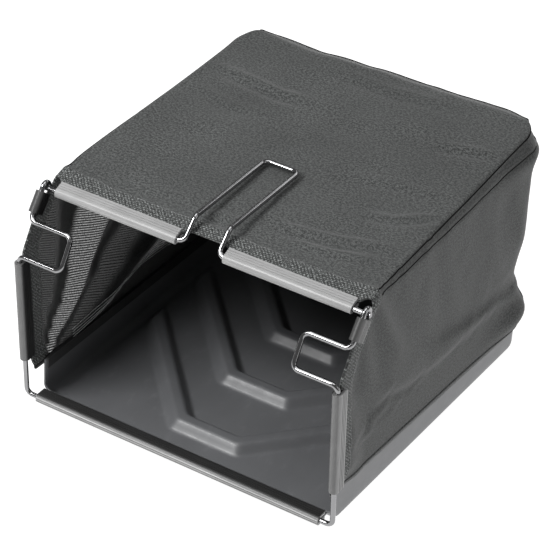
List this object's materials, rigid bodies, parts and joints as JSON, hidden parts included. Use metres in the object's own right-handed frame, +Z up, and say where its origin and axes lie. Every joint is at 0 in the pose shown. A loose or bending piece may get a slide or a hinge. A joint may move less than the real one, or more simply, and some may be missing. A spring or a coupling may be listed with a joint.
{
  "type": "reel mower grass catcher",
  "caption": "Cloth grass catcher for a hand reel mower, on a bent wire mouth frame over a ribbed plastic tray, with a swinging wire carrying handle.",
  "frame": {"origin": "on the tray's flat underside, on the centre line, near the middle of the tray's length", "axes": "+Z up; the mouth faces -Y; +X is to the right seen from the mouth's side looking in"},
  "size_m": [0.422, 0.4761, 0.3058],
  "materials": {
    "tray_plastic": "fine grain, soft sheen",
    "clip_plastic": "satin, fine lengthwise lines",
    "dark_steel": "dark bright plating",
    "bag_cloth": "fine coated weave",
    "hem_cloth": "coarse speckled band"
  },
  "bodies": {
    "catcher": {"tray": "tray_plastic", "bottom_profile": "clip_plastic", "frame_wire": "dark_steel", "left_lower_profile": "clip_plastic", "right_lower_profile": "clip_plastic", "left_upper_profile": "clip_plastic", "right_upper_profile": "clip_plastic", "left_top_profile": "clip_plastic", "right_top_profile": "clip_plastic", "top_hem": "hem_cloth", "left_hem": "hem_cloth", "right_hem": "hem_cloth", "bag_top": "bag_cloth", "bag_left": "bag_cloth", "bag_right": "bag_cloth", "bag_back": "bag_cloth", "left_top_seam": "bag_cloth", "right_top_seam": "bag_cloth", "back_top_seam": "bag_cloth", "left_back_seam": "bag_cloth", "right_back_seam": "bag_cloth", "left_binding": "hem_cloth", "right_binding": "hem_cloth", "back_binding": "hem_cloth", "left_wall_strip": "clip_plastic", "right_wall_strip": "clip_plastic", "back_wall_strip": "clip_plastic"},
    "handle": {"handle_wire": "dark_steel"}
  },
  "joints": [
    {"name": "handle_swing", "type": "hinge", "parent": "catcher", "child": "handle", "pos_m": [0, -0.205, 0.2795], "axis": [1, 0, 0], "range_deg": [0, 180]}
  ]
}
